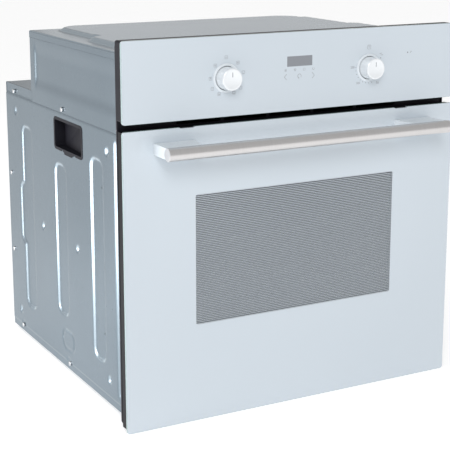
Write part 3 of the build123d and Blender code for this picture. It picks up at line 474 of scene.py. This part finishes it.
# side sheet: boxes are (rear-ward low Y, high Y, low Z, high Z)
sideSheet = {
    "half": 279.0, "depth": 537.0, "top": 461.0, "flange": 9.0, "bend": 1.6, "past bend": 0.5, "wall": 0.8,
    "pitch": 2.6, "front flange": (62, 430),
    "ribs": [(91, 145, 59, 395), (247, 301, 90, 358), (407, 461, 56, 396), (415, 477, 172, 292)],
    "rib radius": 20.0, "rib slope": 8.0, "rib depth": 3.0,
    "front step": (-80, 51, 19, 436), "front radius": 12.0, "front slope": 12.0, "front depth": 3.0,
    "band top": 441.0, "band foot": 13.0, "band slope": 3.4, "band depth": 1.5,
    "notches": [(257, 13), (482, 13)], "notch radius": 9.0,
    "tag": (229, 280, 35, 68), "tag radius": 15.0, "tag line": 3.0, "tag depth": 1.2,
    "dimples": [(486, 414), (74, 410), (360, 229), (202, 226), (491, 40), (80, 41)], "dimple radius": 9.0,
    "dimple depth": 3.6, "pips": [(130, 126)], "pip radius": 3.6, "pip depth": 1.0,
    "pocket": (174.4, 292.6, 381.4, 430.6), "holes": [(103, 348), (103, 110), (409, 110), (409, 352)],
    "hole half": 1.2,
}


def sideRecess(y, z):
    # how far the sheet is pressed inwards: ribs + front step + bands + tag + cosine bowls
    s = sideSheet
    ribs = np.min([outlineDistance(y, z, box, s["rib radius"]) for box in s["ribs"]], axis=0)
    deep = pressed(ribs, s["rib slope"], s["rib depth"])
    step = outlineDistance(y, z, s["front step"], s["front radius"])
    deep = deep + pressed(step, s["front slope"], s["front depth"])
    band = np.minimum(z - s["band foot"], s["band top"] - z)
    for spotY, spotZ in s["notches"]:
        band = np.minimum(band, np.hypot(y - spotY, z - spotZ) - s["notch radius"])
    deep = deep + pressed(band, s["band slope"], s["band depth"])
    tag = np.abs(outlineDistance(y, z, s["tag"], s["tag radius"])) - s["tag line"]
    deep = deep + pressed(tag, s["tag line"], s["tag depth"])
    for spots, radius, depth in ((s["dimples"], s["dimple radius"], s["dimple depth"]),
                                 (s["pips"], s["pip radius"], s["pip depth"])):
        for spotY, spotZ in spots:
            reach = np.clip(np.hypot(y - spotY, z - spotZ) / radius, 0, 1)
            deep = deep + depth * 0.5 * (1 + np.cos(math.pi * reach))
    return deep


def sidePiece(name, side, rear, low, high, recess, cuts, flangeSpan):
    # the path runs from the front flange round a bend, along Y and round the rear bend;
    # x = side x (half - inset - recess(y, z)); cuts are boxes left open, flangeSpan the front flange's reach
    s = sideSheet
    start = s["bend"] + s["past bend"]
    flange = np.linspace(s["flange"], start, 4)
    inset, run = cornerBend(s["bend"], 6)
    fixedY = [edge for box in cuts for edge in box[:2]]
    fixedZ = [edge for box in cuts for edge in box[2:]]
    level = stations(start, rear - start, s["pitch"], fixedY)
    pathY = np.concatenate([flange * 0, run, level, rear - run[::-1], flange * 0 + rear])
    pathIn = np.concatenate([flange, inset, level * 0, inset[::-1], flange[::-1]])
    z = stations(low, high, s["pitch"], fixedZ)
    gridY, gridZ = np.meshgrid(pathY, z, indexing="ij")
    points = np.stack([side * (s["half"] - pathIn[:, None] - recess(gridY, gridZ)), gridY, gridZ], axis=-1)
    faces = gridFaces(*gridY.shape)
    middleY = (gridY[:-1, :-1] + gridY[1:, 1:]) / 2
    middleZ = (gridZ[:-1, :-1] + gridZ[1:, 1:]) / 2
    keep = np.ones(middleY.shape, bool)
    for left, right, foot, top in cuts:
        keep &= ~((middleY > left) & (middleY < right) & (middleZ > foot) & (middleZ < top))
    folded = np.arange(len(keep)) < len(flange)
    keep &= ~(folded[:, None] & ((middleZ < flangeSpan[0]) | (middleZ > flangeSpan[1])))
    faces = faces[keep]
    if side > 0:
        faces = faces[:, ::-1]
    return newPiece(name, points, faces[:, ::-1], finishes["galvanised"], "oven_body",
                    wall=s["wall"], sharp=40.0, solid=False)


holeBoxes = [(y - sideSheet["hole half"], y + sideSheet["hole half"], z - sideSheet["hole half"],
              z + sideSheet["hole half"]) for y, z in sideSheet["holes"]]
for sideName, side in (("left", -1), ("right", 1)):
    sheet = sidePiece(sideName + "_side_sheet", side, sideSheet["depth"], 0.0, sideSheet["top"], sideRecess,
                      [sideSheet["pocket"], *holeBoxes], sideSheet["front flange"])
    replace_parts(sheet, sideName + "_side_panel")

upperSheet = {"depth": 402.0, "low": 461.2, "high": 553.8, "rear": 382.5, "slope": 8.5, "front": 2.0,
              "front slope": 40.0, "ends": (463.0, 551.0), "end slope": 26.0, "press": 2.4}


def upperRecess(y, z):
    # one pressed field: steep at its rear edge, and easing out to the front, the top and the bottom
    u = upperSheet
    low, high = u["ends"]
    ends = pressed(-np.minimum(z - low, high - z), u["end slope"], 1.0)
    rear = pressed(y - u["rear"], u["slope"], 1.0)
    return ends * rear * pressed(u["front"] - y, u["front slope"], u["press"])


for sideName, side in (("left", -1), ("right", 1)):
    upperSpan = upperSheet["low"], upperSheet["high"]
    sheet = sidePiece(sideName + "_upper_sheet", side, upperSheet["depth"], *upperSpan, upperRecess, [],
                      upperSpan)
    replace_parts(sheet, sideName + "_upper_side")
print("side sheets made")

coverSheet = {"half": 279.0, "depth": 402.0, "top": 566.0, "skirt": 12.0, "bend": 2.2, "wall": 0.8,
              "pitch": 4.0, "front rise": (-262, 262, 30, 205), "rear rise": (-242, 242, 120, 396),
              "front radius": 30.0,
              "rear radius": 48.0, "rise": 7.0, "slope": 10.0, "crease": 227.0, "crease width": 5.0,
              "crease drop": 1.2}


def foldedEdge(past, bend):
    # past is the length along the sheet from where the bend starts:
    # inset = bend x (1 - sin a), drop = bend x (1 - cos a), and then straight down
    a = np.clip(past / bend, 0, math.pi / 2)
    straight = np.maximum(past - bend * math.pi / 2, 0)
    return bend * (1 - np.sin(a)), bend * (1 - np.cos(a)) + straight


def coverPiece():
    # z = top + pressed rise - drop over the folded sides and rear
    c = coverSheet
    fold = c["skirt"] + c["bend"] * (math.pi / 2 - 2)
    bendSteps = np.linspace(0, c["bend"] * math.pi / 2, 6) - c["bend"]
    skirtSteps = [side * (c["half"] + step) for side in (-1, 1) for step in bendSteps]
    u = stations(-c["half"] - fold, c["half"] + fold, c["pitch"], skirtSteps)
    v = stations(0.0, c["depth"] + fold, c["pitch"], list(c["depth"] + bendSteps))
    gridU, gridV = np.meshgrid(u, v, indexing="ij")
    insetX, dropX = foldedEdge(np.abs(gridU) - c["half"] + c["bend"], c["bend"])
    insetY, dropY = foldedEdge(gridV - c["depth"] + c["bend"], c["bend"])
    x = np.sign(gridU) * np.where(np.abs(gridU) > c["half"] - c["bend"], c["half"] - insetX, np.abs(gridU))
    y = np.where(gridV > c["depth"] - c["bend"], c["depth"] - insetY, gridV)
    rise = np.minimum(outlineDistance(x, y, c["front rise"], c["front radius"]),
                      outlineDistance(x, y, c["rear rise"], c["rear radius"]))
    height = pressed(rise, c["slope"], c["rise"])
    crease = np.clip((y - c["crease"]) / c["crease width"], 0, 1) * np.clip(height / c["rise"], 0, 1)
    height = height - c["crease drop"] * crease
    z = c["top"] + height - np.maximum(dropX, dropY)
    points = np.stack([x, y, z], axis=-1)
    faces = gridFaces(*x.shape)
    return newPiece("cover_sheet", points, faces, finishes["galvanised"], "oven_body",
                    wall=c["wall"], sharp=45.0, solid=False)


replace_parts(coverPiece(), "top_cover")
print("cover made")


def turned(name, profile, places, closed, look, body):
    # the profile (radius, y) goes once round the Y axis at each place, all in one mesh:
    # x = place + r cos a, z = height + r sin a
    steps = knobShape["steps"]
    a = np.linspace(0, 2 * math.pi, steps, endpoint=False)
    radius, y = np.array(profile, float).T
    z = knobPlace["height"] + radius[:, None] * np.sin(a)[None, :]
    level = np.repeat(y[:, None], steps, axis=1)
    sets = [np.stack([place + radius[:, None] * np.cos(a)[None, :], level, z], axis=-1) for place in places]
    one = gridFaces(len(radius), steps, closedU=closed, closedV=True).reshape(-1, 4)
    faces = np.concatenate([one + i * len(radius) * steps for i in range(len(places))])
    return newPiece(name, np.stack(sets), faces, look, body, sharp=30.0)


def rounded(cornerR, cornerY, radius, start, end, steps=7):
    # arc of the profile from angle start to end, in degrees, round one centre
    a = np.radians(np.linspace(start, end, steps))
    return [(cornerR + radius * math.cos(t), cornerY + radius * math.sin(t)) for t in a]


knobShape = {"front": -48.5, "rear": -20.0, "waist": -29.0, "front radius": 16.6, "rear radius": 17.5,
             "edge": 1.5, "wall": 2.0, "dish": 0.25, "steps": 96}
k = knobShape
knobProfile = [(0, k["front"] + k["wall"]), (k["rear radius"] - k["wall"] - 0.5, k["front"] + k["wall"]),
               (k["rear radius"] - k["wall"], k["rear"]), (k["rear radius"], k["rear"]),
               (k["rear radius"], k["waist"]), (k["front radius"] + 0.05, k["front"] + k["edge"])]
knobProfile += rounded(k["front radius"] - k["edge"], k["front"] + k["edge"], k["edge"], 0, -90)
knobProfile += [(k["front radius"] - 3.2, k["front"] + 0.02),
                (k["front radius"] - 4.0, k["front"] + k["dish"]), (0, k["front"] + k["dish"])]
collarProfile = [(18.3, -21.0), (18.3, -28.4), (18.6, -28.9), (19.2, -29.1), (20.0, -28.7), (20.5, -28.55),
                 (21.0, -28.8), (21.6, -29.05), (22.0, -28.8), (22.2, -28.3), (22.2, -28.02), (19.9, -28.02),
                 (19.9, -9.0), (18.3, -9.0)]
for knobName in ("function", "temperature"):
    capName = knobName + "_cap"
    cap = turned(capName, knobProfile, [knobPlace[knobName]], False, finishes[capName], capName)
    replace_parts(cap, knobName + "_knob")
collars = turned("collar_rings", collarProfile, [knobPlace["function"], knobPlace["temperature"]], True,
                 finishes["bracket_white"], "oven_body")
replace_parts(collars, "knob_collars")
print("knobs made")

# printed marks: thin prisms on the face of the panel glass
printLook = {"face": -28.0, "thick": 0.06, "line": 0.55, "figures": 5.0}


def strokeFaces(path, width, closed):
    # prism along a line of (x, z) points: each point gets a left and a right edge half a width along its
    # normal, in front of and on the glass; an open line closes on its two end points
    path = np.array(path, float)
    ahead = np.roll(path, -1, axis=0) - np.roll(path, 1, axis=0)
    if not closed:
        ahead[0] = path[1] - path[0]
        ahead[-1] = path[-1] - path[-2]
    ahead = ahead / np.hypot(*ahead.T)[:, None]
    normal = np.stack([-ahead[:, 1], ahead[:, 0]], axis=-1) * width / 2
    left, right = path + normal, path - normal
    back = printLook["face"]
    front = back - printLook["thick"]
    ring = [np.stack([edge[:, 0], np.full(len(path), y), edge[:, 1]], axis=-1)
            for edge, y in ((left, back), (left, front), (right, front), (right, back))]
    rings = np.stack(ring, axis=1)
    if closed:
        return rings, gridFaces(len(path), 4, closedU=True, closedV=True)
    first = np.repeat(rings[:1].mean(axis=1, keepdims=True), 4, axis=1)
    last = np.repeat(rings[-1:].mean(axis=1, keepdims=True), 4, axis=1)
    rings = np.concatenate([first, rings, last])
    return rings, gridFaces(len(rings), 4, closedV=True)


def arc(x, z, radius, start, end, steps=20):
    # points of a circle from angle start to end in degrees
    a = np.radians(np.linspace(start, end, steps))
    return [(x + radius * math.cos(t), z + radius * math.sin(t)) for t in a]


def printPiece(name, strokes, look, body):
    # every stroke is (points, width, closed); all of them make one mesh
    points, faces, count = [], [], 0
    for path, width, closed in strokes:
        rings, quads = strokeFaces(path, width, closed)
        points.append(rings.reshape(-1, 3))
        faces.append(quads.reshape(-1, 4) + count)
        count += len(points[-1])
    return newPiece(name, np.concatenate(points), np.concatenate(faces), look, body,
                    sharp=30.0)


def around(name, clock, radius):
    # a point on the dial circle: clock is degrees clockwise from the top
    a = math.radians(clock)
    return knobPlace[name] + radius * math.sin(a), knobPlace["height"] + radius * math.cos(a)


def badge(x, z, size, filling):
    # small rounded square outline with straight or wavy bars inside it
    half = size / 2
    square = []
    for cx, cz, start in ((1, 1, 0), (-1, 1, 90), (-1, -1, 180), (1, -1, 270)):
        square += arc(x + cx * half * 0.7, z + cz * half * 0.7, half * 0.3, start, start + 90, 4)
    strokes = [(square, printLook["line"] * 0.75, True)]
    if "top" in filling:
        strokes.append(([(x - half * 0.5, z + half * 0.5), (x + half * 0.5, z + half * 0.5)], 0.5, False))
    if "foot" in filling:
        strokes.append(([(x - half * 0.5, z - half * 0.5), (x + half * 0.5, z - half * 0.5)], 0.5, False))
    if "fan" in filling:
        strokes.append((arc(x, z, half * 0.32, 0, 342, 12), 0.5, True))
    if "wave" in filling:
        wave = [(x - half * 0.5 + half * t / 6, z + 0.35 * math.sin(t * math.pi / 1.5)) for t in range(7)]
        strokes.append((wave, 0.5, False))
    return strokes


# the marks' clock angle, radius and filling
dialMarks = [(0, 31.0, ("wave",)), (42, 29.5, ("fan",)), (77, 30.0, ("foot",)), (123, 29.0, ("top",)),
             (150, 26.0, ("top", "foot")), (208, 26.0, ("foot", "fan")), (238, 27.5, ("wave",)),
             (272, 26.5, ("top", "fan")), (317, 27.0, ("fan",))]
functionPrint = []
for clock, radius, filling in dialMarks:
    functionPrint += badge(*around("function", clock, radius), 4.6, filling)
temperaturePrint = badge(*around("temperature", 0, 32.5), 6.2, ("wave", "top"))
for clock in (44, 50):
    inner, outer = around("temperature", clock, 29.0), around("temperature", clock + 5, 33.0)
    temperaturePrint.append(([inner, outer], 0.6, False))
for clock in (58, 97):
    temperaturePrint.append((arc(*around("temperature", clock, 26.5), 0.5, 0, 330, 12), 0.9, True))
for step in range(9):
    clock = 166 + step * 13.5
    if step % 3 == 1:
        ends = around("temperature", clock, 23.6), around("temperature", clock, 25.4)
        temperaturePrint.append((list(ends), 0.55, False))
    else:
        temperaturePrint.append((arc(*around("temperature", clock, 24.4), 0.35, 0, 330, 10), 0.7, True))
# keys and signs under the clock: arrows, a round key, two dials, a pot and a bell, in x and z
clockPrint = [([(-23.2, 524.2), (-27.4, 519.8), (-23.2, 515.4)], 0.7, False),
              ([(22.6, 524.2), (26.8, 519.8), (22.6, 515.4)], 0.7, False),
              (arc(-0.3, 520, 3.1, -40, 250, 22), 0.6, False),
              ([(-1.6, 515.6), (-0.9, 517.4), (-2.8, 518.4)], 0.5, False),
              (arc(-25, 530, 1.7, 0, 342, 16), 0.5, True), (arc(-8.4, 530, 1.7, 0, 342, 16), 0.5, True),
              ([(-9.6, 530.0), (-8.4, 530.0), (-8.4, 531.4)], 0.45, False),
              ([(6.4, 531.6), (9.6, 531.6), (9.6, 528.4), (6.4, 528.4)], 0.5, True),
              (arc(24.7, 530, 1.7, 120, 420, 16), 0.5, False),
              ([(-25.8, 529.2), (-25, 530.6), (-24.2, 529.2)], 0.45, False)]
lampPrint = [(arc(203, 545, 0.6, 0, 342, 12), 1.2, True),
             ([(208.2, 543.8), (209.4, 547.2)], 0.5, False), ([(209.4, 547.2), (210.8, 545.2)], 0.5, False)]
printPiece("panel_print", functionPrint + temperaturePrint + clockPrint + lampPrint, finishes["mark_grey"],
           "oven_body")

scaleNumbers = [("50", 145.5, 500.0), ("200", 108.6, 501.6), ("250", 97.2, 527.0)]  # figures, x, z


def numberPiece(figures, x, z):
    # text made a mesh and stood up on the glass: x stays, its height becomes z, its thickness goes to -y
    letters = bpy.data.curves.new("scale_" + figures, "FONT")
    letters.body = figures
    letters.size = printLook["figures"] * mm
    letters.extrude = printLook["thick"] * mm / 2
    letters.align_x = "CENTER"
    letters.align_y = "CENTER"
    holder = bpy.data.objects.new("holder", letters)
    scene.collection.objects.link(holder)
    graph = bpy.context.evaluated_depsgraph_get()
    mesh = bpy.data.meshes.new_from_object(holder.evaluated_get(graph))
    bpy.data.objects.remove(holder)
    flat = np.zeros(len(mesh.vertices) * 3)
    mesh.vertices.foreach_get("co", flat)
    across, upward, thick = flat.reshape(-1, 3).T
    middle = (printLook["face"] - printLook["thick"] / 2) * mm
    upright = np.stack([across + x * mm, middle - thick, upward + z * mm], axis=-1)
    mesh.vertices.foreach_set("co", upright.ravel())
    mesh.materials.clear()
    mesh.materials.append(finishes["mark_grey"])
    mesh.update()
    figure = bpy.data.objects.new("scale_" + figures, mesh)
    scene.collection.objects.link(figure)
    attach(figure, "oven_body")


for figures, x, z in scaleNumbers:
    numberPiece(figures, x, z)
print("marks printed")


# ---- floor, light and camera

stageLook = {"floor": 30.0, "floor height": -0.0075, "world": 0.55, "floor glow": 0.50}
floorFinish = Finish("studio_floor")
floorMaterial = floorFinish.surface({"Base Color": tone(0.8, 0.8, 0.8), "Roughness": 0.8,
                                     "Emission Color": tone(1, 1, 1),
                                     "Emission Strength": stageLook["floor glow"]})
floorMesh = bpy.data.meshes.new("floor")
reach, ground = stageLook["floor"], stageLook["floor height"]
floorCorners = [(x * reach, y * reach, ground) for x, y in ((-1, -1), (1, -1), (1, 1), (-1, 1))]
floorMesh.from_pydata(floorCorners, [], [(0, 1, 2, 3)])
floorMesh.materials.append(floorMaterial)
floor = bpy.data.objects.new("floor", floorMesh)
scene.collection.objects.link(floor)

world = bpy.data.worlds.new("studio")
world.use_nodes = True
world.node_tree.nodes["Background"].inputs["Color"].default_value = tone(1.0, 1.0, 1.0)
world.node_tree.nodes["Background"].inputs["Strength"].default_value = stageLook["world"]
scene.world = world

softboxes = {
    "key": {"at": (-1.6, -3.0, 2.4), "aim": (0, 0.1, 0.3), "size": 1.6, "power": 60.0},
    "left": {"at": (-1.05, 0.36, 0.20), "aim": (-0.28, 0.36, 0.45), "size": 0.8, "power": 10.0},
    "top": {"at": (1.15, 2.3, 1.35), "aim": (0, 0.2, 0.57), "size": 1.4, "power": 2.4},
}
for boxName, box in softboxes.items():
    lamp = bpy.data.lights.new(boxName, "AREA")
    lamp.size = box["size"]
    lamp.energy = box["power"]
    stand = bpy.data.objects.new(boxName, lamp)
    stand.location = box["at"]
    stand.rotation_euler = (Vector(box["aim"]) - Vector(box["at"])).to_track_quat("-Z", "Y").to_euler()
    scene.collection.objects.link(stand)

shot = {"at": (-1.018, -1.664, 0.780), "turn": 28.49, "tilt": 12.41, "lens": 101.0, "sensor": 36.0,
        "shift": -0.1}
cameraData = bpy.data.cameras.new("camera")
cameraData.lens = shot["lens"]
cameraData.sensor_width = shot["sensor"]
cameraData.shift_y = shot["shift"]
camera = bpy.data.objects.new("camera", cameraData)
camera.location = shot["at"]
turn, tilt = math.radians(shot["turn"]), math.radians(shot["tilt"])
ahead = Vector((math.sin(turn) * math.cos(tilt), math.cos(turn) * math.cos(tilt), -math.sin(tilt)))
camera.rotation_euler = ahead.to_track_quat("-Z", "Y").to_euler()
scene.collection.objects.link(camera)
scene.camera = camera
scene.view_settings.view_transform = "Standard"
print("stage set")
